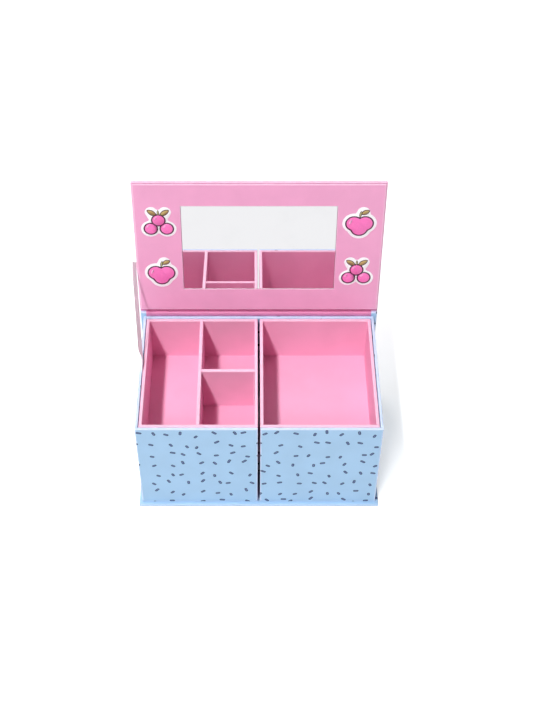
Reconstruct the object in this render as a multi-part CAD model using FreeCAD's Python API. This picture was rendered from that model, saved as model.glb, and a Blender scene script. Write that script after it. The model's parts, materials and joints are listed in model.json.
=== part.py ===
"""Jewellery box of paper-wrapped board, with a mirror lid and two drawers that carry lift-out trays.

Millimetres, +Z up. The origin is the centre of the base board's underside, and the front looks along -Y.
The box is stored with its lid open on its ribbon, its drawers shut and its trays down.
"""
import FreeCAD
import Part

import math
import os

Vec = FreeCAD.Vector

# Case: base board, walls, spine and the partition between the drawers
case_width = 220.0
case_depth = 138.8
case_height = 112.4
base_thickness = 3.0
base_liner_thickness = 0.4
side_overhang = 3.1
front_overhang = 3.4
side_wall_thickness = 2.6
back_wall_thickness = 3.0
spine_thickness = 3.0
partition_thickness = 2.6
partition_height = 52.0
partition_setback = 34.0

# Drawers: full-height front panels with a low box behind each
front_panel_thickness = 2.6
panel_gap = 2.3
drawer_wall_thickness = 2.4
drawer_floor_thickness = 2.0

# Lift-out trays that stand on the drawer boxes
tray_gap = 2.0
tray_inner_depth = 49.4
tray_wall_thickness = 3.0
tray_floor_thickness = 2.4
divider_thickness = 3.3
long_compartment_width = 47.8
front_compartment_depth = 62.2

# Lid: board, liner with a window, mirror and stickers
lid_board_thickness = 2.8
lid_liner_thickness = 1.5
lid_liner_inset = 1.2
lid_open_angle = 97.4
window_width = 140.4
window_height = 92.4
window_rear_margin = 25.3
mirror_thickness = 1.0
sticker_thickness = 0.2
sticker_spacing = 55.0
sticker_shift_in = 1.4

# Paper hinge and ribbon stay
hinge_gutter = 3.5
hinge_paper_thickness = 0.3
hinge_strip_leg = 20.0
ribbon_width = 10.0
ribbon_thickness = 0.4
ribbon_lid_reach = 59.0
ribbon_wall_reach = 67.0
ribbon_lid_run = 10.0
ribbon_tail = 14.0

# Clearances
side_clearance = 0.6
rear_clearance = 0.7
tray_front_clearance = 0.3
running_clearance = 0.3
seat_clearance = 0.1
lid_clearance = 0.5
mirror_clearance = 0.3

# Die-cut stickers, each a union of discs: across, up and radius from the sticker's middle
apple_discs = [(-5.0, 0.5, 10.5), (5.0, 0.5, 10.5), (0.0, -5.5, 10.5), (3.0, 12.0, 6.0)]
sprig_discs = [(-7.5, -5.5, 8.5), (7.5, -5.5, 8.5), (0.0, 3.5, 8.5), (-6.0, 12.0, 6.0), (6.0, 12.0, 6.0)]

# Places along x, measured outwards from the middle
case_half = case_width / 2
board_half = case_half + side_overhang
wall_inner = case_half - side_wall_thickness
box_outer = wall_inner - side_clearance
drawer_inner = partition_thickness / 2 + side_clearance
tray_inner = tray_gap / 2
panel_inner = panel_gap / 2

# Places along y, from the front to the back
base_depth = front_overhang + case_depth + spine_thickness
base_front = -base_depth / 2
front_face = base_front + front_overhang
panel_back = front_face + front_panel_thickness
side_wall_front = panel_back + running_clearance
tray_front = panel_back + tray_front_clearance
back_wall_rear = front_face + case_depth
back_wall_front = back_wall_rear - back_wall_thickness
box_back = back_wall_front - rear_clearance
hinge_y = back_wall_rear + spine_thickness
lid_rear = hinge_y - hinge_gutter

# Places along z, from the table up
liner_top = base_thickness + base_liner_thickness
panel_bottom = base_thickness + running_clearance
drawer_bottom = liner_top + running_clearance
drawer_floor_top = drawer_bottom + drawer_floor_thickness
tray_floor_top = case_height - tray_inner_depth
tray_bottom = tray_floor_top - tray_floor_thickness
drawer_top = tray_bottom - seat_clearance
lid_face = case_height + lid_clearance
lid_board_face = lid_face + lid_liner_thickness
hinge_z = lid_board_face + lid_board_thickness
spine_top = hinge_z - hinge_paper_thickness
lid_middle = (lid_face + hinge_z) / 2

# The open lid: which way it runs up from the hinge, as a plane vector in y and z
lid_lean = math.radians(180.0 - lid_open_angle)
lid_run = Vec(0, math.cos(lid_lean), math.sin(lid_lean))
lid_inward = Vec(0, -math.sin(lid_lean), math.cos(lid_lean))
hinge_point = Vec(0, hinge_y, hinge_z)
across = Vec(1, 0, 0)


def board(xs, ys, zs):
    """Flat board between two x, two y and two z values."""
    return Part.makeBox(xs[1] - xs[0], ys[1] - ys[0], zs[1] - zs[0], Vec(xs[0], ys[0], zs[0]))


def both_ways(half):
    """Low and high x of a piece that reaches as far to the left as to the right."""
    return (-half, half)


def on_side(side, inner, outer):
    """Low and high x of a piece on one side of the middle, -1 for left and 1 for right."""
    return tuple(sorted((side * inner, side * outer)))


def extruded(points, along):
    """Prism from a closed outline of points."""
    outline = Part.makePolygon(points + points[:1])
    return Part.Face(outline).extrude(along)


def opened(shape):
    """A lid piece, made in its closed place, turned up to where the open lid stands."""
    turned = shape.copy()
    turned.rotate(hinge_point, across, -lid_open_angle)
    return turned


def case_pieces():
    """Boards of the case, which stay put."""
    sides = {"left": -1, "right": 1}
    pieces = {
        "base_board": board(both_ways(board_half), (base_front, hinge_y), (0, base_thickness)),
        "base_liner": board(
            both_ways(wall_inner), (side_wall_front, back_wall_front), (base_thickness, liner_top)
        ),
        "back_wall": board(
            both_ways(wall_inner), (back_wall_front, back_wall_rear), (base_thickness, case_height)
        ),
        "spine_board": board(both_ways(board_half), (back_wall_rear, hinge_y), (base_thickness, spine_top)),
        "centre_partition": board(
            both_ways(partition_thickness / 2),
            (front_face + partition_setback, back_wall_front),
            (liner_top, liner_top + partition_height),
        ),
    }
    for name, side in sides.items():
        pieces[f"{name}_side_wall"] = board(
            on_side(side, wall_inner, case_half),
            (side_wall_front, back_wall_rear),
            (base_thickness, case_height),
        )
    return pieces


def box_boards(name, side, inner, front, floor_zs, top, wall):
    """Floor and four walls of an open box, with the front and back walls between the side ones.

    inner is how far the box's inner side stands from the middle, and front is its front face.
    """
    xs = on_side(side, inner, box_outer)
    between = (xs[0] + wall, xs[1] - wall)
    depth = (front, box_back)
    wall_zs = (floor_zs[1], top)
    return {
        f"{name}_floor": board(xs, depth, floor_zs),
        f"{name}_outer_wall": board(on_side(side, box_outer - wall, box_outer), depth, wall_zs),
        f"{name}_inner_wall": board(on_side(side, inner, inner + wall), depth, wall_zs),
        f"{name}_front_wall": board(between, (front, front + wall), wall_zs),
        f"{name}_back_wall": board(between, (box_back - wall, box_back), wall_zs),
    }


def drawer_pieces(name, side):
    """Drawer: a full-height front panel with a low box glued behind it."""
    panel = board(
        on_side(side, panel_inner, case_half), (front_face, panel_back), (panel_bottom, case_height)
    )
    box = box_boards(
        f"{name}_drawer",
        side,
        drawer_inner,
        panel_back,
        (drawer_bottom, drawer_floor_top),
        drawer_top,
        drawer_wall_thickness,
    )
    return {f"{name}_front_panel": panel, **box}


def tray_pieces(name, side):
    """Tray that stands on the drawer's walls and lifts out."""
    return box_boards(
        f"{name}_tray",
        side,
        tray_inner,
        tray_front,
        (tray_bottom, tray_floor_top),
        case_height,
        tray_wall_thickness,
    )


def divider_pieces():
    """The left tray's dividers: one from front to back, one across its inner half."""
    long_x = -box_outer + tray_wall_thickness + long_compartment_width
    cross_y = tray_front + tray_wall_thickness + front_compartment_depth
    heights = (tray_floor_top, case_height)
    return {
        "left_tray_long_divider": board(
            (long_x, long_x + divider_thickness),
            (tray_front + tray_wall_thickness, box_back - tray_wall_thickness),
            heights,
        ),
        "left_tray_cross_divider": board(
            (long_x + divider_thickness, -tray_inner - tray_wall_thickness),
            (cross_y, cross_y + divider_thickness),
            heights,
        ),
    }


def lid_pieces():
    """Lid board, the liner with its window, and the mirror in the window."""
    window_rear = lid_rear - window_rear_margin
    window_ys = (window_rear - window_height, window_rear)
    liner = board(
        both_ways(board_half - lid_liner_inset),
        (base_front + lid_liner_inset, lid_rear - lid_liner_inset),
        (lid_face, lid_board_face),
    )
    window = board(both_ways(window_width / 2), window_ys, (lid_face, lid_board_face))
    mirror = board(
        both_ways(window_width / 2 - mirror_clearance),
        (window_ys[0] + mirror_clearance, window_ys[1] - mirror_clearance),
        (lid_board_face - mirror_thickness, lid_board_face),
    )
    return {
        "lid_board": board(both_ways(board_half), (base_front, lid_rear), (lid_board_face, hinge_z)),
        "lid_liner": liner.cut(window),
        "lid_mirror": mirror,
    }


def sticker(discs, x, y):
    """Die-cut sticker on the lid's inner face, its top towards the lid's front edge."""
    middle = Vec(x, y, lid_face - sticker_thickness)
    plates = [
        Part.makeCylinder(radius, sticker_thickness, middle + Vec(right, -up, 0))
        for right, up, radius in discs
    ]
    return plates[0].fuse(plates[1:]).removeSplitter()


def sticker_pieces():
    """Four stickers beside the mirror, with like ones on the diagonals."""
    x = (window_width / 2 + board_half) / 2 - sticker_shift_in
    middle = lid_rear - window_rear_margin - window_height / 2
    upper = middle - sticker_spacing / 2
    lower = middle + sticker_spacing / 2
    return {
        "upper_left_sticker": sticker(sprig_discs, -x, upper),
        "upper_right_sticker": sticker(apple_discs, x, upper),
        "lower_left_sticker": sticker(apple_discs, -x, lower),
        "lower_right_sticker": sticker(sprig_discs, x, lower),
    }


def hinge_pieces():
    """Paper strip outside the hinge, and the paper that lines the spine inside it."""
    bend = math.tan((math.pi / 2 - lid_lean) / 2)
    rise = Vec(0, 0, hinge_strip_leg)
    lid_end = hinge_point + lid_run * hinge_strip_leg
    outward = Vec(0, hinge_paper_thickness, 0)
    start = Vec(-board_half, 0, 0)
    outline = [
        hinge_point - rise,
        hinge_point,
        lid_end,
        lid_end - lid_inward * hinge_paper_thickness,
        hinge_point + outward - Vec(0, 0, hinge_paper_thickness * bend),
        hinge_point - rise + outward,
    ]
    lining_front = back_wall_rear - hinge_paper_thickness
    face = board(both_ways(wall_inner), (lining_front, back_wall_rear), (case_height, hinge_z))
    top = board(both_ways(wall_inner), (back_wall_rear, hinge_y), (spine_top, hinge_z))
    return {
        "lid_hinge_strip": extruded([point + start for point in outline], across * (2 * board_half)),
        "hinge_lining": face.fuse(top).removeSplitter(),
    }


def ribbon_piece():
    """Ribbon from the lid's left edge over the left wall to its inner face, pulled tight by the open lid.

    It lies flat against both, and its upper end is cut level with the middle of the lid's edge.
    """
    lid_end = hinge_point + lid_run * ribbon_lid_reach + lid_inward * (hinge_z - lid_middle)
    wall_end = Vec(0, hinge_y - ribbon_wall_reach, case_height)
    length = (wall_end - lid_end).Length
    down = (wall_end - lid_end).normalize()
    wide = down.cross(across)
    slack = ribbon_width
    over_wall = length - ribbon_width / 2 * abs(down.y / down.z)
    outer = [
        (-slack, -board_half - ribbon_thickness),
        (ribbon_lid_run, -board_half - ribbon_thickness),
        (over_wall, -wall_inner),
        (length + ribbon_tail, -wall_inner),
    ]
    inner = [(run, x + ribbon_thickness) for run, x in reversed(outer)]
    edge = lid_end - wide * (ribbon_width / 2)
    outline = [edge + down * run + across * x for run, x in outer + inner]
    band = extruded(outline, wide * ribbon_width)
    behind = opened(
        board(
            both_ways(board_half + side_overhang),
            (base_front, hinge_y),
            (lid_middle, lid_middle + case_height),
        )
    )
    return {"lid_ribbon": band.cut(behind)}


def main():
    """Build every piece and write one file for each."""
    pieces = case_pieces()
    for name, side in (("left", -1), ("right", 1)):
        pieces.update(drawer_pieces(name, side))
        pieces.update(tray_pieces(name, side))
    pieces.update(divider_pieces())
    lid = {**lid_pieces(), **sticker_pieces()}
    pieces.update({name: opened(shape) for name, shape in lid.items()})
    pieces.update(hinge_pieces())
    pieces.update(ribbon_piece())

    os.makedirs("parts", exist_ok=True)
    for name, shape in pieces.items():
        if not shape.isValid() or len(shape.Solids) != 1:
            raise ValueError(f"{name} is not one valid solid")
        shape.Solids[0].exportStep(f"parts/{name}.step")
        print(f"{name}: {shape.Volume / 1000:.2f} cm3")


main()
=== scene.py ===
"""A paper-wrapped trinket box with a mirrored lid, two drawers and two lift-out trays.

Each piece is dressed over the CAD frame in metres, with +Z up and the front along -Y.
"""

import json
import logging
import math
from dataclasses import dataclass, replace
from enum import Enum, IntEnum
from typing import Callable, Optional, Sequence, Union

import bpy
from mathutils import Matrix, Vector


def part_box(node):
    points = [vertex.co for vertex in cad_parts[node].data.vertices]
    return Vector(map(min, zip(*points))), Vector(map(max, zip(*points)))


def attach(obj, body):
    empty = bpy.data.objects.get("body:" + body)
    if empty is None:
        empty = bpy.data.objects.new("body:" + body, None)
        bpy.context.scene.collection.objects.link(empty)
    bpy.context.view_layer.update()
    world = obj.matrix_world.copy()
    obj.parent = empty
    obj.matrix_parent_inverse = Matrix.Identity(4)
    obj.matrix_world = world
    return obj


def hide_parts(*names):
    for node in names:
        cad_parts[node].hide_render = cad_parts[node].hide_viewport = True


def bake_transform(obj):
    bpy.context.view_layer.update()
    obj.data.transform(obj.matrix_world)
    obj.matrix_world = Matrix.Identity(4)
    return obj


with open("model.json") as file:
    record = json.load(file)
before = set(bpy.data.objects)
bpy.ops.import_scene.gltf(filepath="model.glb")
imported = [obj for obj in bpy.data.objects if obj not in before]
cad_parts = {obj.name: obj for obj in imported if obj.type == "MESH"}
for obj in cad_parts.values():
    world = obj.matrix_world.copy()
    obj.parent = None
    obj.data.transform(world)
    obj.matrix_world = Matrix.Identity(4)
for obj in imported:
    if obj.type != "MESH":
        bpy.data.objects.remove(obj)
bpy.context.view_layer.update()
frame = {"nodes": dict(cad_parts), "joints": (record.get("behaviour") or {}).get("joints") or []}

log = logging.getLogger("trinket_box")

MM = 0.001
CORNER_STEPS = 4
FOLD_STEPS = 3
LEAST_CORNER = 0.08 * MM
RUB_AND_HIGHLIGHT_WIDTH = 0.9 * MM
PAPER_STEP = 0.1 * MM
FLAT_WEIGHT = 90
PLATE_ROUNDING = 0.3
PLATE_DRAW_IN = 0.995
LEAF_POINT = 1.5

Colour = tuple[float, float, float, float]
Number = Union[float, "Value"]
Paint = Union[Colour, "Value"]
Sockets = dict[Union[int, str], object]
Spot = tuple[float, float]
Outline = list[Spot]
Station = tuple[Vector, Vector, Vector]
Unfold = Callable[[Vector, Vector], Spot]

WHITE: Colour = (1.0, 1.0, 1.0, 1.0)
GREY: Colour = (0.8, 0.8, 0.8, 1.0)
ACROSS = Vector((1, 0, 0))
BEHIND = Vector((0, 1, 0))
UPWARD = Vector((0, 0, 1))


def paint(red: int, green: int, blue: int) -> Colour:
    """Turn a colour as a screen shows it into a linear one.

    Args:
        red: the red level, 0 to 255.
        green: the green level, 0 to 255.
        blue: the blue level, 0 to 255.

    Returns:
        The linear colour with a full alpha.
    """

    def linear(level: int) -> float:
        """Undo the screen's curve for one channel."""
        share = level / 255
        return share / 12.92 if share <= 0.04045 else ((share + 0.055) / 1.055) ** 2.4

    return linear(red), linear(green), linear(blue), 1.0


def tinted(colour: Colour, by: float) -> Colour:
    """Return a colour made lighter or darker by a share of itself."""
    return tuple(min(1.0, channel * (1 + by)) for channel in colour[:3]) + (1.0,)


class Value:
    """A shader socket that can be used in a Python expression."""

    def __init__(self, graph: "Graph", socket: bpy.types.NodeSocket) -> None:
        """Wrap one output socket of a graph."""
        self.graph = graph
        self.socket = socket

    def maths(self, operation: str, *terms: Number) -> "Value":
        """Return the result of one Math node on these terms."""
        node = self.graph.node("ShaderNodeMath", {"operation": operation}, dict(enumerate(terms)))
        return Value(self.graph, node.outputs[0])

    def __add__(self, other: Number) -> "Value":
        """Add a value or a number."""
        return self.maths("ADD", self, other)

    def __radd__(self, other: Number) -> "Value":
        """Add to a number."""
        return self.maths("ADD", other, self)

    def __sub__(self, other: Number) -> "Value":
        """Take away a value or a number."""
        return self.maths("SUBTRACT", self, other)

    def __rsub__(self, other: Number) -> "Value":
        """Take away from a number."""
        return self.maths("SUBTRACT", other, self)

    def __mul__(self, other: Number) -> "Value":
        """Multiply by a value or a number."""
        return self.maths("MULTIPLY", self, other)

    def __rmul__(self, other: Number) -> "Value":
        """Multiply a number."""
        return self.maths("MULTIPLY", other, self)

    def __truediv__(self, other: Number) -> "Value":
        """Divide by a value or a number."""
        return self.maths("DIVIDE", self, other)

    def __pow__(self, other: Number) -> "Value":
        """Raise to a power."""
        return self.maths("POWER", self, other)

    def __abs__(self) -> "Value":
        """Drop the sign."""
        return self.maths("ABSOLUTE", self)

    def sine(self) -> "Value":
        """Return the sine of an angle."""
        return self.maths("SINE", self)

    def cosine(self) -> "Value":
        """Return the cosine of an angle."""
        return self.maths("COSINE", self)

    def at_least(self, floor: Number) -> "Value":
        """Return the larger of this and another value."""
        return self.maths("MAXIMUM", self, floor)

    def smooth(self, low: float, high: float) -> "Value":
        """Rise smoothly from 0 at one level to 1 at another.

        Args:
            low: the level where the rise starts.
            high: the level where it ends.

        Returns:
            The risen value, 0 to 1.
        """
        node = self.graph.node(
            "ShaderNodeMapRange",
            {"interpolation_type": "SMOOTHSTEP"},
            {"Value": self, "From Min": low, "From Max": high},
        )
        return Value(self.graph, node.outputs[0])


class Graph:
    """The node tree of one material or of the world."""

    def __init__(self, owner: Union[bpy.types.Material, bpy.types.World]) -> None:
        """Start an empty tree.

        Args:
            owner: the material or the world that holds the tree.
        """
        owner.use_nodes = True
        self.tree = owner.node_tree
        self.tree.nodes.clear()

    def node(self, kind: str, settings: dict[str, object], inputs: Sockets) -> bpy.types.Node:
        """Add any node.

        Args:
            kind: the node's type.
            settings: what is set on the node before its sockets.
            inputs: a number, a colour or a linked value for each socket that isn't left alone.

        Returns:
            The new node.
        """
        made = self.tree.nodes.new(kind)
        for name, setting in settings.items():
            setattr(made, name, setting)
        for key, given in inputs.items():
            if isinstance(given, Value):
                self.tree.links.new(given.socket, made.inputs[key])
            else:
                made.inputs[key].default_value = given
        return made

    def place(self) -> Value:
        """Return the point on the piece, in metres."""
        return Value(self, self.node("ShaderNodeTexCoord", {}, {}).outputs["Object"])

    def unfolded(self, sheet: str) -> Value:
        """Return the point on a piece's unfolded paper or cloth, in millimetres."""
        return Value(self, self.node("ShaderNodeUVMap", {"uv_map": sheet}, {}).outputs["UV"])

    def attribute(self, name: str) -> Value:
        """Return a number that the mesh carries at each point."""
        return Value(self, self.node("ShaderNodeAttribute", {"attribute_name": name}, {}).outputs["Fac"])

    def parts(self, vector: Value) -> list[Value]:
        """Return a vector's three numbers."""
        node = self.node("ShaderNodeSeparateXYZ", {}, {0: vector})
        return [Value(self, socket) for socket in node.outputs]

    def vector(self, operation: str, first: object, second: object) -> Value:
        """Return the result of one Vector Math node."""
        node = self.node("ShaderNodeVectorMath", {"operation": operation}, {0: first, 1: second})
        return Value(self, node.outputs[0])

    def noise(self, place: Value, across: float, detail: float = 2.0) -> Value:
        """Return a cloudy value near a half, whose features are this wide."""
        sockets = {"Vector": place, "Scale": 1 / across, "Detail": detail}
        return Value(self, self.node("ShaderNodeTexNoise", {}, sockets).outputs[0])

    def blend(self, share: Number, first: Paint, second: Paint) -> Value:
        """Mix two colours, all of the second where the share is 1."""
        node = self.node("ShaderNodeMix", {"data_type": "RGBA"}, {0: share, 6: first, 7: second})
        return Value(self, node.outputs[2])

    def relief(self, height: Value, depth: float, strength: float) -> Value:
        """Return a normal that follows a height of this depth in metres."""
        sockets = {"Height": height, "Distance": depth, "Strength": strength}
        return Value(self, self.node("ShaderNodeBump", {}, sockets).outputs[0])

    def shader(self, kind: str, sockets: Sockets) -> Value:
        """Return the shader of one node of this kind."""
        return Value(self, self.node(kind, {}, sockets).outputs[0])

    def surface(self, sockets: Sockets) -> Value:
        """Return the shader of an ordinary surface with these sockets."""
        return self.shader("ShaderNodeBsdfPrincipled", sockets)

    def rays(self, *ways: str) -> Value:
        """Return 1 for rays of the named ways, such as Camera or Glossy, and 0 for others.

        Args:
            ways: the ways that a ray can go, as Blender names them.

        Returns:
            The value that tells them apart.
        """
        ray = self.node("ShaderNodeLightPath", {}, {})
        first, *others = (Value(self, ray.outputs[f"Is {way} Ray"]) for way in ways)
        for other in others:
            first = first.at_least(other)
        return first


@dataclass(frozen=True)
class Finish:
    """What every finish has: its own name and the record's slot."""

    name: str
    slot: str

    def material(self) -> bpy.types.Material:
        """Return the finish as a material, made when it is first asked for.

        Returns:
            The one material of this finish.
        """
        found = bpy.data.materials.get(self.name)
        if found is None:
            found = bpy.data.materials.new(self.name)
            graph = Graph(found)
            graph.node("ShaderNodeOutputMaterial", {}, {"Surface": self.shade(graph)})
        return found

    def shade(self, graph: Graph) -> Value:
        """Return the shader of the finish."""
        raise NotImplementedError


@dataclass(frozen=True)
class WrapPaper(Finish):
    """Smooth wrapping paper with fine fibre, soft mottling and pale folds, partly worn and partly a
    painted highlight where rims catch the light.
    """

    colour: Colour
    pale_worn_and_highlit: Colour
    roughness: float = 0.5
    rub_and_highlight: float = 0.7
    mottle: float = 0.022
    cloud_width: float = 24 * MM
    patch_width: float = 5 * MM
    fibre_width: float = 0.5 * MM
    fibre_stretch: tuple[float, float, float] = (1.0, 0.35, 0.35)
    fleck: float = 0.12
    specular: float = 0.4
    relief_depth: float = 0.03 * MM

    def ground(self, graph: Graph, place: Value, rubbing_and_highlight: Value) -> Value:
        """Return the paper's colour.

        Args:
            graph: the material's nodes.
            place: the point on the piece.
            rubbing_and_highlight: how far the fold is worn pale and painted with highlight there.

        Returns:
            The mottled colour, paler where the fold is worn and painted with highlight.
        """
        cloud = graph.noise(place, self.cloud_width, 3.0).smooth(0.3, 0.7)
        darker, lighter = tinted(self.colour, -self.mottle), tinted(self.colour, self.mottle)
        mottled = graph.blend(cloud, darker, lighter)
        # Pale folds: partly worn paper, partly a painted highlight on rims that catch the light.
        return graph.blend(rubbing_and_highlight * self.rub_and_highlight, mottled, self.pale_worn_and_highlit)

    def shade(self, graph: Graph) -> Value:
        """Return the shader of the paper.

        Args:
            graph: the material's nodes.

        Returns:
            The paper's shader, with its fibre and its pale folds, worn and painted with highlight.
        """
        place = graph.place()
        fibre = graph.noise(graph.vector("MULTIPLY", place, self.fibre_stretch), self.fibre_width, 3.0)
        patchy = graph.noise(place, self.patch_width, 4.0).smooth(0.2, 0.75)
        # The fold mask stands for worn paper and for a painted highlight along the folds.
        rubbing_and_highlight = graph.attribute("wear_and_highlight") * (0.65 + 0.35 * patchy)
        ground = self.ground(graph, place, rubbing_and_highlight)
        colour = graph.blend(fibre.smooth(0.5, 0.85) * self.fleck, ground, self.pale_worn_and_highlit)
        rough = self.roughness + (fibre - 0.5) * 0.2 - rubbing_and_highlight * 0.06
        return graph.surface(
            {
                "Base Color": colour,
                "Roughness": rough,
                "Specular IOR Level": self.specular,
                "Normal": graph.relief(fibre + 0.6 * patchy, self.relief_depth, 0.5),
            }
        )


@dataclass(frozen=True)
class SprinklePaper(WrapPaper):
    """Wrapping paper printed all over with small outlined sprinkles, sized in millimetres."""

    outline: Colour = paint(16, 34, 84)
    heart: Colour = paint(128, 152, 206)
    pitch: float = 14.4
    scatter: float = 0.62
    half_length: float = 1.25
    shortest: float = 0.65
    spread: float = 0.6
    half_width: float = 1.25
    line: float = 0.8
    ink_blur: float = 0.12
    heart_share: float = 0.65

    def ground(self, graph: Graph, place: Value, rubbing_and_highlight: Value) -> Value:
        """Return the printed colour.

        Args:
            graph: the material's nodes.
            place: the point on the piece.
            rubbing_and_highlight: how far the fold is worn pale and painted with highlight there.

        Returns:
            The mottled blue with its sprinkles.
        """
        sheet = graph.unfolded("print")
        cell = graph.node(
            "ShaderNodeTexVoronoi",
            {"voronoi_dimensions": "2D"},
            {"Vector": sheet, "Scale": 1 / self.pitch, "Randomness": self.scatter},
        )
        centre = Value(graph, cell.outputs["Position"])
        turn, size, _ = graph.parts(Value(graph, cell.outputs["Color"]))
        across, along, _ = graph.parts(graph.vector("SUBTRACT", sheet, centre))
        angle = turn * (2 * math.pi)
        run = abs(across * angle.cosine() + along * angle.sine())
        side = along * angle.cosine() - across * angle.sine()
        past_end = (run - self.half_length * (self.shortest + self.spread * size)).at_least(0.0)
        edge = (past_end * past_end + side * side) ** 0.5 - self.half_width
        printed = 1 - edge.smooth(-self.ink_blur, self.ink_blur)
        inner = 1 - edge.smooth(-self.line - 0.2, -self.line + 0.1)
        colour = graph.blend(printed, super().ground(graph, place, rubbing_and_highlight), self.outline)
        return graph.blend(inner * self.heart_share, colour, self.heart)


@dataclass(frozen=True)
class MirrorGlass(Finish):
    """Silvered glass with faint finger haze."""

    colour: Colour
    haze_width: float = 30 * MM
    haze_tint: float = -0.03
    polish: float = 0.01
    smear: float = 0.03

    def shade(self, graph: Graph) -> Value:
        """Return the shader of the mirror.

        Args:
            graph: the material's nodes.

        Returns:
            The glass's shader, with its haze.
        """
        haze = graph.noise(graph.place(), self.haze_width, 4.0).smooth(0.45, 0.9)
        colour = graph.blend(haze, self.colour, tinted(self.colour, self.haze_tint))
        rough = self.polish + haze * self.smear
        return graph.surface({"Base Color": colour, "Metallic": 1.0, "Roughness": rough})


@dataclass(frozen=True)
class StickerInk(Finish):
    """Gloss sticker paper in one ink, with the press's fine speckle."""

    colour: Colour
    roughness: float = 0.3
    speckle_width: float = 0.6 * MM
    speckle_tint: float = 0.06
    relief_depth: float = 0.01 * MM

    def shade(self, graph: Graph) -> Value:
        """Return the shader of the ink.

        Args:
            graph: the material's nodes.

        Returns:
            The ink's shader, with its speckle.
        """
        speckle = graph.noise(graph.place(), self.speckle_width)
        darker, lighter = tinted(self.colour, -self.speckle_tint), tinted(self.colour, self.speckle_tint)
        return graph.surface(
            {
                "Base Color": graph.blend(speckle.smooth(0.35, 0.7), darker, lighter),
                "Roughness": self.roughness + (speckle - 0.5) * 0.12,
                "Normal": graph.relief(speckle, self.relief_depth, 0.4),
            }
        )


@dataclass(frozen=True)
class SatinCloth(Finish):
    """Narrow woven satin that lets light through, with a sheen and a firmer selvage."""

    colour: Colour
    selvage: Colour
    width: float
    warp_pitch: float = 0.32
    weft_pitch: float = 0.45
    shimmer_width: float = 2.5
    roughness: float = 0.38
    light_reach: float = 1.5 * MM
    relief_depth: float = 0.02 * MM

    def shade(self, graph: Graph) -> Value:
        """Return the shader of the ribbon.

        Args:
            graph: the material's nodes.

        Returns:
            The satin's shader, with its weave and selvage.
        """
        sheet = graph.unfolded("weave")
        across, along, _ = graph.parts(sheet)
        warp = (across * (2 * math.pi / self.warp_pitch)).sine()
        weft = (along * (2 * math.pi / self.weft_pitch)).sine()
        border = (abs(across) / (self.width / MM / 2)).smooth(0.82, 0.95)
        shimmer = graph.noise(sheet, self.shimmer_width, 3.0)
        colour = graph.blend(border * 0.6 + (shimmer - 0.5) * 0.3, self.colour, self.selvage)
        return graph.surface(
            {
                "Base Color": colour,
                "Roughness": self.roughness + warp * 0.05 + border * 0.15,
                "Subsurface Weight": 0.9,
                "Subsurface Radius": (1.0, 0.9, 0.95),
                "Subsurface Scale": self.light_reach,
                "Sheen Weight": 0.6,
                "Sheen Roughness": 0.4,
                "Normal": graph.relief(warp + weft * 0.5 + border * 2.0, self.relief_depth, 0.5),
            }
        )


# Each paper's second colour is its pale fold colour: partly worn paper, partly a painted highlight on lit
# rims.
BLUE_PRINT = SprinklePaper(
    "blue sprinkle paper", "printed_paper", paint(165, 201, 233), paint(224, 230, 254), rub_and_highlight=0.75
)
BASE_PRINT = replace(BLUE_PRINT, name="sparse blue sprinkle paper", pitch=34.0)
BLUE_SHEET = WrapPaper("plain blue lining", "printed_paper", paint(176, 210, 238), paint(226, 236, 252))
PINK_WRAP = WrapPaper("pink wrapping paper", "pink_paper", paint(236, 168, 198), paint(255, 208, 230))
# A darker pink than the other pink papers: painted shade for the gutter under the lid's hinge.
SHADED_HINGE_PINK = WrapPaper("pink hinge paper in painted shade", "pink_paper", paint(228, 144, 188), paint(246, 190, 220))
LID_PINK = WrapPaper("pink lid paper", "pink_paper", paint(236, 164, 202), paint(255, 214, 236))
PINK_SHEET = WrapPaper("pale pink lining", "pink_paper", paint(247, 188, 217), paint(255, 222, 238))
CARD_CORE = WrapPaper("cut card edge", "pink_paper", paint(250, 224, 236), paint(255, 240, 246), 0.7)
MIRROR = MirrorGlass("silvered glass", "mirror", (0.885, 0.885, 0.905, 1.0))
STICKER_WHITE = StickerInk("white sticker paper", "sticker_paper", paint(250, 246, 250))
INK_LINE = StickerInk("dark plum ink", "sticker_paper", paint(62, 8, 44))
INK_PINK = StickerInk("bright pink ink", "sticker_paper", paint(246, 116, 188))
INK_GLINT = StickerInk("pale pink ink", "sticker_paper", paint(255, 172, 218))
INK_LEAF = StickerInk("olive leaf ink", "sticker_paper", paint(190, 164, 100))
INK_STEM = StickerInk("pale green ink", "sticker_paper", paint(196, 198, 142))


class Facing(Enum):
    """The way a board's outer face looks, as its right-hand and upward directions."""

    FRONT = ((1, 0, 0), (0, 0, 1))
    BACK = ((-1, 0, 0), (0, 0, 1))
    LEFT = ((0, -1, 0), (0, 0, 1))
    RIGHT = ((0, 1, 0), (0, 0, 1))
    TOP = ((1, 0, 0), (0, 1, 0))

    def place(self) -> Matrix:
        """Return the turn from the board's own axes to the row frame."""
        right, up = (Vector(axis) for axis in self.value)
        return axes(right, up, Vector((0, 0, 0)))


def axes(right: Vector, up: Vector, origin: Vector) -> Matrix:
    """Build a placement from two directions and a point.

    Args:
        right: the piece's first axis.
        up: the piece's second axis.
        origin: where the piece's own origin lies.

    Returns:
        The matrix that takes the piece's own points to the row frame.
    """
    turn = Matrix((right, up, right.cross(up))).transposed()
    return Matrix.Translation(origin) @ turn.to_4x4()


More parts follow.
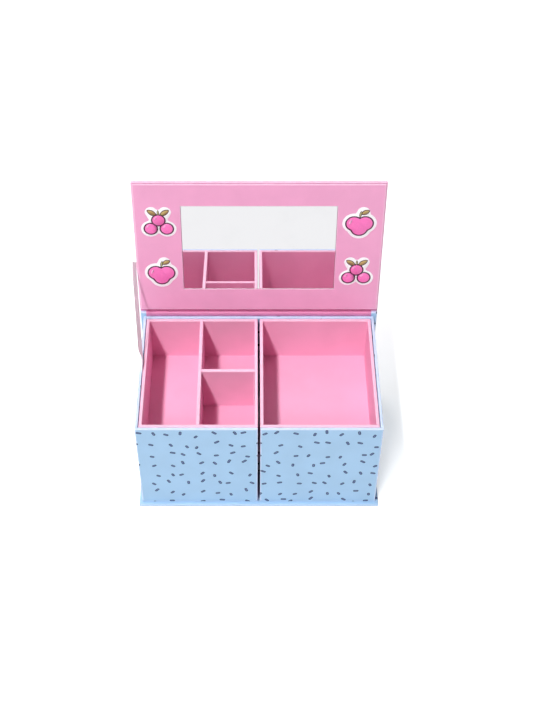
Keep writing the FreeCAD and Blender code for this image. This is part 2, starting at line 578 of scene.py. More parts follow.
def extent(nodes: Sequence[str], place: Matrix) -> tuple[Vector, Vector]:
    """Measure CAD nodes along a piece's own axes.

    Args:
        nodes: the CAD nodes, taken together.
        place: the piece's placement.

    Returns:
        The lowest and the highest corner.
    """
    back = place.inverted()
    points = [back @ vertex.co for node in nodes for vertex in frame["nodes"][node].data.vertices]
    low = Vector([min(point[axis] for point in points) for axis in range(3)])
    high = Vector([max(point[axis] for point in points) for axis in range(3)])
    return low, high


@dataclass(frozen=True)
class Rect:
    """A rectangle in a piece's own plane."""

    left: float
    bottom: float
    right: float
    top: float

    def inset(self, by: float) -> "Rect":
        """Return the rectangle drawn in on all sides."""
        return Rect(self.left + by, self.bottom + by, self.right - by, self.top - by)


@dataclass(frozen=True)
class Ring:
    """One rounded rectangle of a lofted shell, and the finish of the band that follows it."""

    rect: Rect
    height: float
    corner: float
    # Share of the pale fold marking on this ring: worn paper and painted highlight.
    wear_and_highlight: float = 0.0
    finish: int = 0
    slit: float = 0.0

    def points(self) -> list[Vector]:
        """Return the ring's points, anticlockwise as seen from above.

        Returns:
            The points, in the piece's own axes.
        """
        rect, bend = self.rect, max(self.corner, LEAST_CORNER)
        centres = (
            (rect.right - bend, rect.top - bend),
            (rect.left + bend, rect.top - bend),
            (rect.left + bend, rect.bottom + bend),
            (rect.right - bend, rect.bottom + bend),
        )
        points = []
        for quarter, (across, along) in enumerate(centres):
            for step in range(CORNER_STEPS + 1):
                angle = (quarter + step / CORNER_STEPS) * math.pi / 2
                x, y = across + bend * math.cos(angle), along + bend * math.sin(angle)
                dip = self.slit if step == CORNER_STEPS // 2 else 0.0
                points.append(Vector((x, y, self.height - dip)))
        return points


def folded(
    rect: Rect, level: float, fold: float, corner: float, turn: tuple[int, int], slit: float = 0.0
) -> list[Ring]:
    """Round one edge of a wrapped board.

    Args:
        rect: the outline that the fold meets.
        level: the height of the fold's centre.
        fold: the fold's radius, below nought where the rectangle is a cavity.
        corner: the outline's corner radius.
        turn: the angles, in degrees, where the fold starts and ends.
        slit: how far the paper's cut dips at the corners.

    Returns:
        The rings that follow the fold.
    """
    rings = []
    for step in range(FOLD_STEPS + 1):
        angle = math.radians(turn[0] + (turn[1] - turn[0]) * step / FOLD_STEPS)
        drawn_in = fold - abs(fold) * math.cos(angle)
        rise = abs(fold) * math.sin(angle)
        rings.append(Ring(rect.inset(drawn_in), level + rise, corner - drawn_in, 1.0, 0, slit))
    return rings


class Shell:
    """Gathers the points and faces of one mesh piece in the piece's own axes."""

    def __init__(self, place: Matrix) -> None:
        """Start an empty piece with its placement.

        Args:
            place: takes the piece's own points to the row frame.
        """
        self.place = place
        self.points: list[Vector] = []
        self.wear_and_highlight: list[float] = []
        self.faces: list[tuple[int, ...]] = []
        self.finish: list[int] = []
        self.flat_map: list[Spot] = []

    def add(self, points: Sequence[Vector], wear_and_highlight: float) -> list[int]:
        """Add points that share one degree of the pale fold marking, worn paper and painted highlight,
        and return their numbers.

        Args:
            points: the points, in the piece's own axes.
            wear_and_highlight: how far the paper is worn pale and painted with highlight there, 0 to 1.

        Returns:
            The points' numbers in the mesh.
        """
        first = len(self.points)
        self.points += points
        self.wear_and_highlight += [wear_and_highlight] * len(points)
        return list(range(first, len(self.points)))

    def face(self, corners: Sequence[int], finish: int) -> None:
        """Add one face."""
        self.faces.append(tuple(corners))
        self.finish.append(finish)

    def bridge(self, lower: Sequence[int], upper: Sequence[int], finish: int) -> None:
        """Join two closed loops of the same length with a band of faces.

        Args:
            lower: the first loop's point numbers.
            upper: the second loop's, in the same order.
            finish: the band's finish.
        """
        count = len(lower)
        for here in range(count):
            after = (here + 1) % count
            self.face((lower[here], lower[after], upper[after], upper[here]), finish)

    def loft(self, rings: Sequence[Ring], closed: bool = False) -> "Shell":
        """Join rings one after the other.

        Args:
            rings: the rings in order.
            closed: whether the last ring joins the first, and otherwise both ends are capped.

        Returns:
            This shell.
        """
        loops = [self.add(ring.points(), ring.wear_and_highlight) for ring in rings]
        for ring, lower, upper in zip(rings, loops, loops[1:]):
            self.bridge(lower, upper, ring.finish)
        if closed:
            self.bridge(loops[-1], loops[0], rings[-1].finish)
        else:
            self.face(loops[0][::-1], rings[0].finish)
            self.face(loops[-1], rings[-1].finish)
        return self

    def plate(self, outline: Outline, centre: Spot, low: float, high: float, finish: int) -> None:
        """Add a flat plate with a softened upper edge.

        Args:
            outline: the plate's outline in millimetres, anticlockwise.
            centre: where the outline's origin lies, in metres.
            low: the height of the plate's underside.
            high: the height of its face.
            finish: the plate's finish.
        """
        soft = PLATE_ROUNDING * (high - low)
        across, up = centre
        loops = []
        for height, share in ((low, 1.0), (high - soft, 1.0), (high, PLATE_DRAW_IN)):
            points = [Vector((across + x * MM * share, up + y * MM * share, height)) for x, y in outline]
            loops.append(self.add(points, 0.0))
        for lower, upper in zip(loops, loops[1:]):
            self.bridge(lower, upper, finish)
        self.face(loops[0][::-1], finish)
        self.face(loops[-1], finish)

    def piece(
        self, name: str, finishes: Sequence[Finish], unfold: Optional[Unfold] = None, sheet: str = "print"
    ) -> bpy.types.Object:
        """Make the mesh object.

        Args:
            name: the piece's name.
            finishes: the finishes, in the order that the faces number them.
            unfold: gives a point's place on the unfolded paper from its face's normal.
            sheet: the name of that unfolded map.

        Returns:
            The dressed object in the row frame.
        """
        mesh = bpy.data.meshes.new(name)
        mesh.from_pydata([self.place @ point for point in self.points], [], self.faces)
        for finish in finishes:
            mesh.materials.append(finish.material())
        mesh.polygons.foreach_set("material_index", self.finish)
        # Mask of the pale folds, standing for worn paper and for a painted highlight on the rims.
        mesh.attributes.new("wear_and_highlight", "FLOAT", "POINT").data.foreach_set("value", self.wear_and_highlight)
        turn_back = self.place.to_3x3().inverted()
        if unfold or self.flat_map:
            layer = mesh.uv_layers.new(name=sheet)
            for polygon in mesh.polygons:
                normal = turn_back @ polygon.normal
                for loop in polygon.loop_indices:
                    vertex = mesh.loops[loop].vertex_index
                    spot = unfold(normal, self.points[vertex]) if unfold else self.flat_map[vertex]
                    layer.data[loop].uv = spot
        mesh.shade_smooth()
        made = bpy.data.objects.new(name, mesh)
        bpy.context.scene.collection.objects.link(made)
        return made


def even_faces(piece: bpy.types.Object) -> None:
    """Keep a piece's flat faces flat beside its rounded folds."""
    piece.modifiers.new("even faces", "WEIGHTED_NORMAL").weight = FLAT_WEIGHT


def seat(piece: bpy.types.Object, body: str, *nodes: str) -> None:
    """Set a piece on its body in place of its CAD nodes, and report it.

    Args:
        piece: the dressed piece.
        body: the CAD body that it rides on, or none, which leaves it on no body.
        nodes: the CAD nodes that it stands for.
    """
    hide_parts(*nodes)
    if body:
        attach(piece, body)
    log.info("%s stands for %s", piece.name, ", ".join(nodes))


@dataclass
class Board:
    """A stiff board wrapped in paper, standing for one CAD node."""

    node: str
    place: Matrix
    finishes: tuple[Finish, ...]
    fold: float = 0.5 * MM
    corner: float = 0.6 * MM
    rub_and_highlight_width: float = RUB_AND_HIGHLIGHT_WIDTH
    pasted: float = 0.0
    paper: float = 0.12 * MM
    # How strongly this board's folds show worn paper and painted highlight.
    handled_and_highlit: float = 1.0
    largest_fold: float = 0.3

    def measure(self) -> None:
        """Take the board's outline and thickness from its CAD node."""
        low, high = extent([self.node], self.place)
        self.rect = Rect(low.x, low.y, high.x, high.y)
        self.back, self.front = low.z, high.z
        self.fold = min(self.fold, self.largest_fold * (self.front - self.back))

    def rings(self) -> list[Ring]:
        """Return the rings from the back face, over the folded edges, to the outer face.

        Returns:
            The rings in order, their pale fold marking, worn paper and painted highlight, scaled for this
            board.
        """
        rect, fold, corner = self.rect, self.fold, self.corner
        back = self.back
        rings = []
        if self.pasted:
            back += self.paper
            rings.append(Ring(rect.inset(self.pasted), self.back, 0.0, 0.0, 1))
            rings.append(Ring(rect.inset(self.pasted - PAPER_STEP), back, 0.0))
        rings.append(Ring(rect.inset(fold + self.rub_and_highlight_width), back, 0.0))
        rings += folded(rect, back + fold, fold, corner, (-90, 0))
        rings += folded(rect, self.front - fold, fold, corner, (0, 90))
        rings.append(Ring(rect.inset(fold + self.rub_and_highlight_width), self.front, 0.0))
        return [replace(ring, wear_and_highlight=ring.wear_and_highlight * self.handled_and_highlit) for ring in rings]

    def unfold(self, normal: Vector, point: Vector) -> Spot:
        """Lay the wrapped paper flat, with the outer face in the middle.

        Args:
            normal: the normal of the face, in the board's own axes.
            point: the point, in the board's own axes.

        Returns:
            The point's place on the paper, in millimetres.
        """
        rect, depth = self.rect, self.front - point.z
        across, along = point.x, point.y
        lead = max(range(3), key=lambda axis: abs(normal[axis]))
        if lead == 2 and normal.z < 0:
            along = 2 * rect.top + self.front - self.back - point.y
        if lead == 1:
            along = rect.top + depth if normal.y > 0 else rect.bottom - depth
        if lead == 0:
            across = rect.right + depth if normal.x > 0 else rect.left - depth
        return across / MM, along / MM

    def build(self, body: str) -> bpy.types.Object:
        """Make the board and set it on its body.

        Args:
            body: the CAD body that it rides on.

        Returns:
            The board's object.
        """
        self.measure()
        shell = Shell(self.place).loft(self.rings())
        made = shell.piece(f"{self.node}_wrapped", self.finishes, self.unfold)
        even_faces(made)
        seat(made, body, self.node)
        return made


@dataclass
class Tub:
    """An open box of four walls and a floor, wrapped in one paper over its rim."""

    stem: str
    left_wall: str
    right_wall: str
    finishes: tuple[Finish, ...]
    fold: float = 0.6 * MM
    corner: float = 0.8 * MM
    inner_corner: float = 0.25 * MM
    rub_and_highlight_width: float = RUB_AND_HIGHLIGHT_WIDTH
    pasted: float = 5.0 * MM
    paper: float = 0.12 * MM
    slit: float = 0.1 * MM
    floor_band: float = 1.5 * MM
    floor_margin: float = 2.0 * MM

    def nodes(self) -> list[str]:
        """Return the CAD nodes that the tub stands for."""
        ends = [self.left_wall, self.right_wall, "front_wall", "back_wall", "floor"]
        return [f"{self.stem}_{end}" for end in ends]

    def build(self, body: str) -> bpy.types.Object:
        """Make the tub and set it on its body.

        Args:
            body: the CAD body that it rides on.

        Returns:
            The tub's object.
        """
        place = Facing.TOP.place()
        low, high = extent(self.nodes(), place)
        outside = Rect(low.x, low.y, high.x, high.y)
        left, right, front, back, floor = (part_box(node) for node in self.nodes())
        cavity = Rect(left[1].x, front[1].y, right[0].x, back[0].y)
        fold, corner, hollow = self.fold, self.corner, self.inner_corner
        under, inside = low.z + self.paper, floor[1].z
        rings = [
            Ring(outside.inset(self.pasted), low.z, 0.0, 0.0, 1),
            Ring(outside.inset(self.pasted - PAPER_STEP), under, 0.0),
            Ring(outside.inset(fold + self.rub_and_highlight_width), under, 0.0),
        ]
        rings += folded(outside, under + fold, fold, corner, (-90, 0))
        rings.append(Ring(outside, under + fold + self.rub_and_highlight_width, corner))
        rings.append(Ring(outside, high.z - fold - self.rub_and_highlight_width, corner))
        rings += folded(outside, high.z - fold, fold, corner, (0, 90), self.slit)
        rings += folded(cavity, high.z - fold, -fold, hollow, (90, 180), self.slit)
        rings.append(Ring(cavity, high.z - fold - self.rub_and_highlight_width, hollow))
        rings.append(Ring(cavity, inside + self.floor_band, hollow))
        crease = folded(cavity, inside + hollow, hollow, hollow, (0, -90))
        rings += [Ring(ring.rect, ring.height, hollow) for ring in crease]
        rings.append(Ring(cavity.inset(self.floor_margin), inside, hollow))
        made = Shell(place).loft(rings).piece(f"{self.stem}_wrapped", self.finishes)
        even_faces(made)
        seat(made, body, *self.nodes())
        return made


@dataclass
class Strip:
    """A thin band of paper or cloth along a path of stations."""

    width: float
    thickness: float
    columns: int
    inner_finish: int = 0
    border: float = 0.5 * MM

    def offsets(self) -> list[float]:
        """Return the places across the band, with a narrow border inside each edge.

        Returns:
            The places from one edge to the other, measured from the middle.
        """
        inner = self.width / 2 - self.border
        middle = [inner * (2 * column / self.columns - 1) for column in range(self.columns + 1)]
        return [-self.width / 2, *middle, self.width / 2]

    def shell(self, stations: Sequence[Station]) -> Shell:
        """Make the band as a closed skin.

        Args:
            stations: the middle, the direction across and the outward normal at each step of the path.

        Returns:
            The skin, with its flat map in millimetres.
        """
        skin = Shell(Matrix.Identity(4))
        offsets = self.offsets()
        edges = (offsets[0], offsets[-1])
        rows, run = [], 0.0
        for step, (middle, across, normal) in enumerate(stations):
            if step:
                run += (middle - stations[step - 1][0]).length
            loop = []
            for side, order in ((0.5, offsets), (-0.5, offsets[::-1])):
                for offset in order:
                    # The strip's edges take the pale fold marking: worn paper and painted highlight.
                    wear_and_highlight = 1.0 if offset in edges else 0.0
                    loop += skin.add([middle + across * offset + normal * (side * self.thickness)], wear_and_highlight)
                    skin.flat_map.append((offset / MM, run / MM))
            rows.append(loop)
        for lower, upper in zip(rows, rows[1:]):
            skin.bridge(upper, lower, 0)
            for face in range(len(offsets) - 1):
                skin.finish[-2 - face] = self.inner_finish
        skin.face(rows[0], 0)
        skin.face(rows[-1][::-1], 0)
        return skin


@dataclass
class Case:
    """The outer case: base, walls, spine and partition."""

    turn_in: float = 6 * MM
    # The base shows less of the pale fold marking, worn paper and painted highlight.
    base_handled_and_highlit: float = 0.3
    lining_thickness: float = 0.3 * MM
    lining_bend: float = 0.9 * MM
    bend_steps: int = 6
    columns: int = 12

    def build(self) -> None:
        """Make the case's boards and its inner hinge lining."""
        flat, papers, handled_and_highlit = Facing.TOP.place(), (BASE_PRINT, BLUE_SHEET), self.base_handled_and_highlit
        Board("base_board", flat, papers, pasted=self.turn_in, handled_and_highlit=handled_and_highlit).build("case")
        Board("base_liner", flat, (BLUE_SHEET,)).build("case")
        for node, facing in (
            ("left_side_wall", Facing.LEFT),
            ("right_side_wall", Facing.RIGHT),
            ("back_wall", Facing.FRONT),
            ("spine_board", Facing.BACK),
            ("centre_partition", Facing.RIGHT),
        ):
            Board(node, facing.place(), (BLUE_PRINT,)).build("case")
        self.lining()

    def lining(self) -> None:
        """Make the pink paper that lines the hinge above the back wall."""
        low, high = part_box("hinge_lining")
        half, bend = self.lining_thickness / 2, self.lining_bend
        front, top = low.y + half, high.z - half
        stations: list[Station] = [(Vector((0, front, low.z)), ACROSS, -BEHIND)]
        for step in range(self.bend_steps + 1):
            angle = math.pi / 2 * step / self.bend_steps
            normal = Vector((0, -math.cos(angle), math.sin(angle)))
            middle = Vector((0, front + bend, top - bend)) + normal * bend
            stations.append((middle, ACROSS, normal))
        stations.append((Vector((0, high.y, top)), ACROSS, UPWARD))
        strip = Strip(high.x - low.x, self.lining_thickness, self.columns)
        # The lining is in the darker pink, painted shade for the gutter.
        made = strip.shell(stations).piece("hinge_lining_paper", (SHADED_HINGE_PINK,))
        seat(made, "case", "hinge_lining")


class Side(Enum):
    """The two halves of the box, as the walls that come first and last from left to right."""

    LEFT = ("outer_wall", "inner_wall")
    RIGHT = ("inner_wall", "outer_wall")


@dataclass
class Drawer:
    """One drawer: a tall printed front on a low box."""

    side: Side
    fold: float = 0.5 * MM

    def build(self) -> None:
        """Make the drawer's front and box."""
        word = self.side.name.lower()
        body = f"{word}_drawer"
        Board(f"{word}_front_panel", Facing.FRONT.place(), (BLUE_PRINT,)).build(body)
        Tub(body, *self.side.value, (PINK_WRAP, PINK_SHEET), fold=self.fold).build(body)


@dataclass
class Tray:
    """One lift-out tray, with its dividers."""

    side: Side
    dividers: tuple[tuple[str, Facing], ...] = ()
    divider_fold: float = 0.7 * MM
    divider_corner: float = 0.2 * MM

    def build(self) -> None:
        """Make the tray and its dividers."""
        body = f"{self.side.name.lower()}_tray"
        fold, corner = self.divider_fold, self.divider_corner
        Tub(body, *self.side.value, (PINK_WRAP, PINK_SHEET)).build(body)
        for divider, facing in self.dividers:
            Board(f"{body}_{divider}", facing.place(), (PINK_WRAP,), fold, corner).build(body)


class Motif(Enum):
    """The two fruit pictures, as the discs of their die-cut borders, in millimetres."""

    APPLE = ((-5, 0.5, 10.5), (5, 0.5, 10.5), (0, -5.5, 10.5), (3, 12, 6))
    SPRIG = ((-7.5, -5.5, 8.5), (7.5, -5.5, 8.5), (0, 3.5, 8.5), (-6, 12, 6), (6, 12, 6))


class Ink(IntEnum):
    """A sticker's finishes, as its faces number them."""

    PAPER = 0
    LINE = 1
    FRUIT = 2
    GLINT = 3
    LEAF = 4
    STEM = 5


INKS = (STICKER_WHITE, INK_LINE, INK_PINK, INK_GLINT, INK_LEAF, INK_STEM)
Layer = tuple[Outline, int, Ink]


def around(discs: Sequence[tuple[float, float, float]], grow: float, count: int = 120) -> Outline:
    """Draw one smooth line round overlapping discs.

    Args:
        discs: the discs as across, up and radius.
        grow: how far the line stands outside the discs.
        count: how many points the line has.

    Returns:
        The line's points, anticlockwise round the origin.
    """
    reach = []
    for step in range(count):
        angle = 2 * math.pi * step / count
        ray = Vector((math.cos(angle), math.sin(angle)))
        far = 0.0
        for across, up, radius in discs:
            middle = Vector((across, up))
            along = middle.dot(ray)
            spare = (radius + grow) ** 2 - (middle - along * ray).length_squared
            if spare > 0:
                far = max(far, along + math.sqrt(spare))
        reach.append(far)
    points = []
    for step in range(count):
        angle = 2 * math.pi * step / count
        far = sum(reach[(step + near) % count] for near in range(-2, 3)) / 5
        points.append((far * math.cos(angle), far * math.sin(angle)))
    return points


def leaf(across: float, up: float, length: float, width: float, lean: float, count: int = 32) -> Outline:
    """Draw a pointed leaf.

    Args:
        across: the leaf's middle, from the sticker's middle.
        up: the same, upwards.
        length: from tip to tip.
        width: across the middle.
        lean: the angle of its length, in degrees.
        count: how many points the line has.

    Returns:
        The leaf's points, anticlockwise.
    """
    cosine, sine = math.cos(math.radians(lean)), math.sin(math.radians(lean))
    points = []
    for step in range(count):
        angle = 2 * math.pi * step / count
        run = math.cos(angle) * length / 2
        side = math.copysign(abs(math.sin(angle)) ** LEAF_POINT, math.sin(angle)) * width / 2
        points.append((across + run * cosine - side * sine, up + run * sine + side * cosine))
    return points


@dataclass
class Sticker:
    """A die-cut fruit sticker on the lid's lining."""

    node: str
    motif: Motif
    place: Matrix
    line: float = 1.25
    berry: float = 6.6
    berry_points: int = 72
    paper: float = 0.1 * MM
    ink: float = 0.025 * MM

    def layers(self) -> list[Layer]:
        """Return the printed shapes, each with its level and its ink."""
        return self.apple() if self.motif is Motif.APPLE else self.sprig()

    def lined(self, outer: Outline, inner: Outline, level: int, ink: Ink) -> list[Layer]:
        """Return a shape with a dark line round it."""
        return [(outer, level, Ink.LINE), (inner, level + 1, ink)]

    def apple(self) -> list[Layer]:
        """Return the shapes of an apple with a stem, a leaf and a glint.

        Returns:
            The shapes from the paper up.
        """
        body = [(-5, 0.2, 8), (5, 0.2, 8), (0, -5.2, 8)]
        stem = leaf(0.6, 10.2, 7.5, 2.4, 80), leaf(0.6, 10.2, 6.0, 1.1, 80)
        blade = leaf(4.8, 12.2, 8.6, 5.0, 28), leaf(4.8, 12.2, 6.8, 3.4, 28)
        shapes = self.lined(*stem, 0, Ink.STEM) + self.lined(*blade, 0, Ink.LEAF)
        shapes += self.lined(around(body, 0.0), around(body, -self.line), 1, Ink.FRUIT)
        shapes.append((leaf(-8.2, 1.8, 5.5, 2.2, 65), 3, Ink.GLINT))
        return shapes

    def sprig(self) -> list[Layer]:
        """Return the shapes of three berries with two leaves and a stem.

        Returns:
            The shapes from the paper up.
        """
        shapes = []
        for lean, across in ((145, -5.6), (35, 5.6)):
            blade = leaf(across, 11.6, 10.5, 5.2, lean), leaf(across, 11.6, 8.6, 3.6, lean)
            shapes += self.lined(*blade, 0, Ink.LEAF)
        shapes += self.lined(leaf(0, 11.0, 7.5, 2.2, 90), leaf(0, 11.0, 6.0, 1.0, 90), 0, Ink.STEM)
        disc = [(0, 0, self.berry)]
        for number, (across, up) in enumerate(((-7.2, -5.4), (7.2, -5.4), (0, 3.6))):
            outer, inner = (
                [(x + across, y + up) for x, y in around(disc, grow, self.berry_points)]
                for grow in (0.0, -self.line)
            )
            level = number // 2
            shapes += self.lined(outer, inner, level, Ink.FRUIT)
            shapes.append((leaf(across - 2.4, up + 2.4, 3.8, 1.8, 45), level + 2, Ink.GLINT))
        return shapes

    def build(self) -> None:
        """Make the sticker and set it on the lid."""
        low, high = extent([self.node], self.place)
        discs = self.motif.value
        middle_across = (min(x - r for x, _, r in discs) + max(x + r for x, _, r in discs)) / 2
        middle_up = (min(y - r for _, y, r in discs) + max(y + r for _, y, r in discs)) / 2
        centre = ((low.x + high.x) / 2 - middle_across * MM, (low.y + high.y) / 2 - middle_up * MM)
        shell = Shell(self.place)
        face = low.z + self.paper
        shell.plate(around(discs, 0.0), centre, low.z, face, int(Ink.PAPER))
        for outline, level, ink in self.layers():
            shell.plate(outline, centre, face, face + (level + 1) * self.ink, int(ink))
        made = shell.piece(f"{self.node}_printed", INKS)
        seat(made, "lid", self.node)


@dataclass
class Lid:
    """The lid: wrapped board, framed mirror, stickers and the paper of its hinge."""

    fold: float = 0.55 * MM
    corner: float = 1.0 * MM
    glass_fold: float = 0.12 * MM
    glass_corner: float = 0.2 * MM
    glass_rim: float = 0.3 * MM
    glass_gap: float = 0.3 * MM
    frame_fold: float = 0.45 * MM
    frame_corner: float = 0.8 * MM
    cut_edge: float = 0.12 * MM
    cut_corner: float = 0.1 * MM
    # The window's cut edge takes part of the pale marking: worn card and painted highlight.
    cut_wear_and_highlight: float = 0.6
    strip_thickness: float = 0.3 * MM
    strip_leg: float = 20 * MM
    spine_steps: int = 12
    lid_steps: int = 16
    columns: int = 16
    bend_start: float = 1.5 * MM
    gutter: float = 3.5 * MM

    def __post_init__(self) -> None:
        """Find the lid's own axes from its joint."""
        joint = next(joint for joint in frame["joints"] if joint["name"] == "lid_hinge")
        angle = math.radians(abs(joint["range_deg"][0]))
        self.hinge = Vector(joint["pos_m"])
        self.up = Vector((0, -math.cos(angle), math.sin(angle)))
        self.place = axes(ACROSS, self.up, self.hinge)
        self.inward = self.place.to_3x3().col[2].copy()

    def build(self) -> None:
        """Make everything that rides on the lid, and its hinge paper."""
        Board("lid_board", self.place, (LID_PINK,), self.fold, self.corner).build("lid")
        self.mirror_frame()
        glass = self.glass_fold, self.glass_corner, self.glass_rim
        Board("lid_mirror", self.place, (MIRROR,), *glass).build("lid")
        for node, motif in (
            ("upper_left_sticker", Motif.SPRIG),
            ("upper_right_sticker", Motif.APPLE),
            ("lower_left_sticker", Motif.APPLE),
            ("lower_right_sticker", Motif.SPRIG),
        ):
            Sticker(node, motif, self.place).build()
        self.hinge_strip()

    def mirror_frame(self) -> None:
        """Make the lining board with the window that frames the mirror."""
        low, high = extent(["lid_liner"], self.place)
        outside = Rect(low.x, low.y, high.x, high.y)
        fold, corner = self.frame_fold, self.frame_corner
        cut, cut_corner, wear_and_highlight = self.cut_edge, self.cut_corner, self.cut_wear_and_highlight
        glass_low, glass_high = extent(["lid_mirror"], self.place)
        opening = Rect(glass_low.x, glass_low.y, glass_high.x, glass_high.y).inset(-self.glass_gap)
        rings = [Ring(outside, low.z, corner, 1.0)]
        rings += folded(outside, high.z - fold, fold, corner, (0, 90))
        rings.append(Ring(outside.inset(fold + RUB_AND_HIGHLIGHT_WIDTH), high.z, 0.0))
        rings.append(Ring(opening.inset(-RUB_AND_HIGHLIGHT_WIDTH), high.z, cut_corner))
        rings.append(Ring(opening.inset(-cut), high.z, cut_corner, wear_and_highlight))
        rings.append(Ring(opening, high.z - cut, cut_corner, wear_and_highlight, 1))
        rings.append(Ring(opening, low.z, cut_corner, 0.0, 1))
        shell = Shell(self.place).loft(rings, closed=True)
        made = shell.piece("lid_lining_frame", (LID_PINK, CARD_CORE))
        even_faces(made)
        seat(made, "lid", "lid_liner")

    def hinge_strip(self) -> None:
        """Make the printed paper that joins the spine to the lid on the outside."""
        half, outward = self.strip_thickness / 2, -self.inward
        low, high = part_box("lid_hinge_strip")
        stations: list[Station] = []
        for step in range(self.spine_steps + 1):
            drop = self.strip_leg * (1 - step / self.spine_steps)
            stations.append((self.hinge + BEHIND * half - UPWARD * drop, ACROSS, BEHIND))
        for step in range(1, self.lid_steps + 1):
            climb = self.strip_leg * step / self.lid_steps
            stations.append((self.hinge + outward * half + self.up * climb, ACROSS, outward))
        strip = Strip(high.x - low.x, self.strip_thickness, self.columns, inner_finish=1)
        # Its inner face is in the darker pink, painted shade for the gutter.
        made = strip.shell(stations).piece("lid_hinge_paper", (BLUE_PRINT, SHADED_HINGE_PINK))
        seat(made, "", "lid_hinge_strip")
        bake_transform(made)


@dataclass
class Ribbon:
    """The satin stay from the lid's left edge, over the left wall, to that wall's inner face."""

    width: float = 10 * MM
    thickness: float = 0.3 * MM
    tail: float = 14 * MM
    wall_reach: float = 67 * MM
    lid_reach: float = 59 * MM
    lid_depth: float = 2.15 * MM
    lid_run: float = 10 * MM
    clear: float = 0.06 * MM
    steps: int = 64
    columns: int = 8
    turn: float = 17.5
    settle: float = 0.12
    bend_share: float = 0.5
    colour: Colour = paint(255, 233, 241)
    selvage: Colour = paint(255, 245, 250)

    def lean(self, share: float) -> float:
        """Return how far the ribbon turns from flat at a share of its free run, in radians."""
        rise = min(1.0, share / self.settle)
        return math.radians(self.turn) * rise * rise * (3 - 2 * rise)

    def build(self, lid: Lid) -> None:
        """Make the ribbon between the case and the lid.

        Args:
            lid: the lid, whose edge holds the ribbon's upper end.
        """
        _, wall_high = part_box("left_side_wall")
        lid_low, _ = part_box("lid_board")
        foot = Vector((0, lid.hinge.y - self.wall_reach, wall_high.z))
        head = lid.hinge + lid.up * self.lid_reach + lid.inward * self.lid_depth
        run = (head - foot).normalized()
        facing = Vector((0, -run.z, run.y))
        length = (head - foot).length
        free = self.width / 2 * run.y / run.z
        wall_side = wall_high.x + self.clear + self.thickness / 2
        lid_side = lid_low.x - self.clear - self.thickness / 2
        stations: list[Station] = []
        for step in range(self.steps + 1):
            travel = -self.tail + (length + self.tail) * step / self.steps
            share = min(1.0, max(0.0, (travel - free) / (length - self.lid_run - free)))
            lean = self.lean(share)
            across = facing * math.cos(lean) - ACROSS * math.sin(lean)
            middle = foot + run * travel
            middle.x = wall_side + (lid_side - wall_side) * share - math.sin(lean) * self.width / 2
            stations.append((middle, across, across.cross(run)))
        cloth = SatinCloth("pale pink satin", "satin_ribbon", self.colour, self.selvage, self.width)
        shell = Strip(self.width, self.thickness, self.columns).shell(stations)
        made = shell.piece("lid_stay_ribbon", (cloth,), sheet="weave")
        seat(made, "", "lid_ribbon")
        foot + run * (self.bend_share * length)
        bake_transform(made)


@dataclass(frozen=True)
class WhiteSweep(Finish):
    """The studio's white floor, which keeps the object's shadow."""

    lift: float = 0.5

    def shade(self, graph: Graph) -> Value:
        """Return a floor that shows white to the camera and to mirrors, but for the shadow on it.

        Args:
            graph: the material's nodes.

        Returns:
            The floor's shader.
        """
        matt = graph.shader("ShaderNodeBsdfDiffuse", {"Color": GREY})
        pale = graph.shader("ShaderNodeBsdfDiffuse", {"Color": WHITE})
        glow = graph.shader("ShaderNodeEmission", {"Color": WHITE, "Strength": self.lift})
        white = graph.shader("ShaderNodeEmission", {"Color": WHITE, "Strength": 1.0})
        shown = graph.shader("ShaderNodeAddShader", {0: pale, 1: glow})
        reflected = graph.rays("Glossy", "Transmission")
        mirrored = graph.shader("ShaderNodeMixShader", {0: reflected, 1: matt, 2: white})
        return graph.shader("ShaderNodeMixShader", {0: graph.rays("Camera"), 1: mirrored, 2: shown})


@dataclass(frozen=True)
class StripLamp:
    """A long lamp that runs forward overhead, in shares of its height above the floor."""

    name: str
    rear: float
    front: float
    power: float
    left: float = 0.3
    width: float = 0.08

    def hang(self, height: float) -> None:
        """Hang the lamp at a height in metres.

        Args:
            height: how far it hangs above the floor.
        """
        data = bpy.data.lights.new(self.name, "AREA")
        data.shape = "RECTANGLE"
        data.energy = self.power
        data.size = self.width * height
        data.size_y = (self.front - self.rear) * height
        lamp = bpy.data.objects.new(self.name, data)
        lamp.location = Vector((-self.left, -(self.rear + self.front) / 2, 1.0)) * height
        bpy.context.scene.collection.objects.link(lamp)


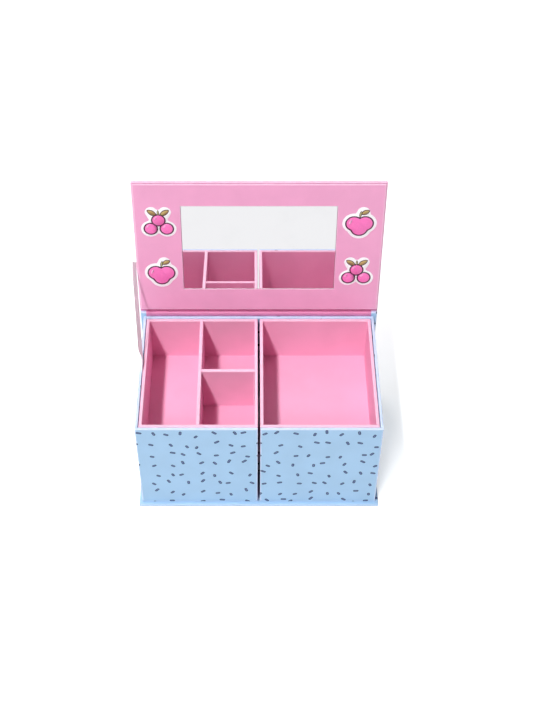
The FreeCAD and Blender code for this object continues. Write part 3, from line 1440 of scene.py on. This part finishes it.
@dataclass
class Studio:
    """The floor, the light and the camera."""

    floor_radius: float = 2.4
    floor_drop: float = 0.05 * MM
    floor_sides: int = 96
    lamp_height: float = 4.0
    lamps: tuple[StripLamp, ...] = (
        StripLamp("front strip lamp", 0.25, 1.4, 298.0),
        StripLamp("rear strip lamp", -0.7, 0.25, 70.0),
    )
    sky: float = 0.06
    skirt: float = 0.3
    skirt_fade: tuple[float, float] = (0.1, 0.6)
    rear: float = 1.6
    rear_fade: tuple[float, float] = (0.3, 0.9)
    image_width: float = 540.0
    image_height: float = 720.0
    focal_pixels: float = 1214.0
    aim_pixel: float = 254.0
    look_down: float = 48.24
    stand: tuple[float, float, float] = (-4.51 * MM, -735.75 * MM, 951.06 * MM)

    def build(self) -> None:
        """Set up the floor, the lamps, the surroundings and the camera."""
        self.floor()
        for lamp in self.lamps:
            lamp.hang(self.lamp_height)
        self.surroundings()
        self.camera()
        bpy.context.scene.view_settings.view_transform = "Standard"

    def floor(self) -> None:
        """Lay a round white floor under the box."""
        radius, count = self.floor_radius, self.floor_sides
        points = []
        for step in range(count):
            angle = 2 * math.pi * step / count
            points.append((radius * math.cos(angle), radius * math.sin(angle), -self.floor_drop))
        mesh = bpy.data.meshes.new("studio_floor")
        mesh.from_pydata(points, [], [tuple(range(count))])
        mesh.materials.append(WhiteSweep("white sweep", "").material())
        made = bpy.data.objects.new("studio_floor", mesh)
        bpy.context.scene.collection.objects.link(made)

    def surroundings(self) -> None:
        """Give the room dim light, paler near the floor and behind the box, and a white look."""
        world = bpy.data.worlds.new("white room")
        bpy.context.scene.world = world
        graph = Graph(world)
        toward = Value(graph, graph.node("ShaderNodeTexCoord", {}, {}).outputs["Generated"])
        _, depth, rise = graph.parts(toward)
        low = 1 - abs(rise).smooth(*self.skirt_fade)
        light = self.sky + (self.skirt - self.sky + self.rear * depth.smooth(*self.rear_fade)) * low
        room = graph.shader("ShaderNodeBackground", {"Color": WHITE, "Strength": light})
        white = graph.shader("ShaderNodeBackground", {"Color": WHITE, "Strength": 1.0})
        shown = graph.rays("Camera", "Glossy", "Transmission")
        mixed = graph.shader("ShaderNodeMixShader", {0: shown, 1: room, 2: white})
        graph.node("ShaderNodeOutputWorld", {}, {"Surface": mixed})

    def camera(self) -> None:
        """Stand the camera where the photograph was taken from."""
        data = bpy.data.cameras.new("camera")
        data.lens = data.sensor_width * self.focal_pixels / self.image_height
        data.shift_x = (self.image_width / 2 - self.aim_pixel) / self.image_height
        camera = bpy.data.objects.new("camera", data)
        camera.location = self.stand
        camera.rotation_euler = (math.radians(90 - self.look_down), 0, 0)
        bpy.context.scene.collection.objects.link(camera)
        bpy.context.scene.camera = camera


def main() -> None:
    """Build the box piece by piece, then its studio."""
    logging.basicConfig(level=logging.INFO, format="%(name)s: %(message)s")
    Studio().build()
    Case().build()
    for side in Side:
        Drawer(side).build()
    Tray(Side.LEFT, (("long_divider", Facing.RIGHT), ("cross_divider", Facing.FRONT))).build()
    Tray(Side.RIGHT).build()
    lid = Lid()
    lid.build()
    Ribbon().build(lid)


if __name__ == "__main__":
    main()
